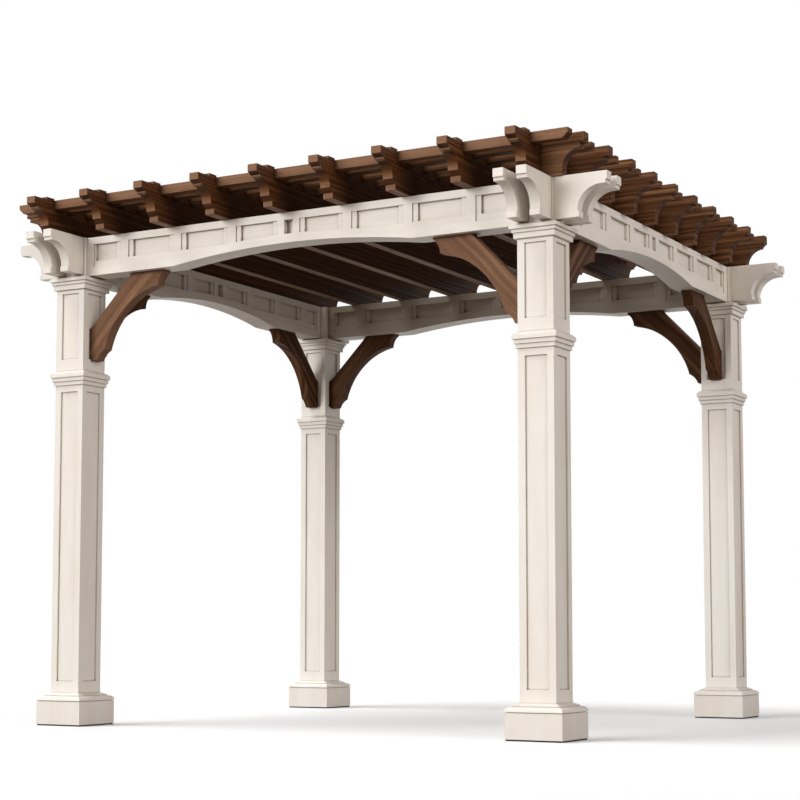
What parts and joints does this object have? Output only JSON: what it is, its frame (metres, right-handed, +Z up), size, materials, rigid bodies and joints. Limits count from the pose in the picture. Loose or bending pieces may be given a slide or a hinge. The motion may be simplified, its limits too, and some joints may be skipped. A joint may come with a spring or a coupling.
{
  "type": "garden pergola",
  "caption": "Free-standing garden pergola with panelled square columns, arched box beams, knee braces and a dark slatted roof on coved rafters.",
  "frame": {"origin": "ground level under the middle of the plan", "axes": "+X to the right along the front, +Y towards the back, +Z up"},
  "size_m": [3.484, 3.196, 2.81],
  "materials": {
    "cream_paint": "off-white painted timber, satin, faint grain",
    "walnut_stain": "dark walnut-stained timber, open grain, low sheen"
  },
  "bodies": {
    "root": {"column_base_front_left": "cream_paint", "column_base_front_right": "cream_paint", "column_base_back_left": "cream_paint", "column_base_back_right": "cream_paint", "column_shaft_front_left": "cream_paint", "column_shaft_front_right": "cream_paint", "column_shaft_back_left": "cream_paint", "column_shaft_back_right": "cream_paint", "collar_front_left": "cream_paint", "collar_front_right": "cream_paint", "collar_back_left": "cream_paint", "collar_back_right": "cream_paint", "capital_front_left": "cream_paint", "capital_front_right": "cream_paint", "capital_back_left": "cream_paint", "capital_back_right": "cream_paint", "corbels_front_left": "cream_paint", "corbels_front_right": "cream_paint", "corbels_back_left": "cream_paint", "corbels_back_right": "cream_paint", "front_beam": "cream_paint", "back_beam": "cream_paint", "left_beam": "cream_paint", "right_beam": "cream_paint", "front_brace_left": "walnut_stain", "front_brace_right": "walnut_stain", "back_brace_left": "walnut_stain", "back_brace_right": "walnut_stain", "left_brace_front": "walnut_stain", "left_brace_back": "walnut_stain", "right_brace_front": "walnut_stain", "right_brace_back": "walnut_stain", "rafter_1": "walnut_stain", "rafter_2": "walnut_stain", "rafter_3": "walnut_stain", "rafter_4": "walnut_stain", "rafter_5": "walnut_stain", "rafter_6": "walnut_stain", "rafter_7": "walnut_stain", "rafter_8": "walnut_stain", "rafter_9": "walnut_stain", "purlins": "walnut_stain", "slats": "walnut_stain", "left_lookouts": "walnut_stain", "right_lookouts": "walnut_stain"}
  },
  "joints": []
}
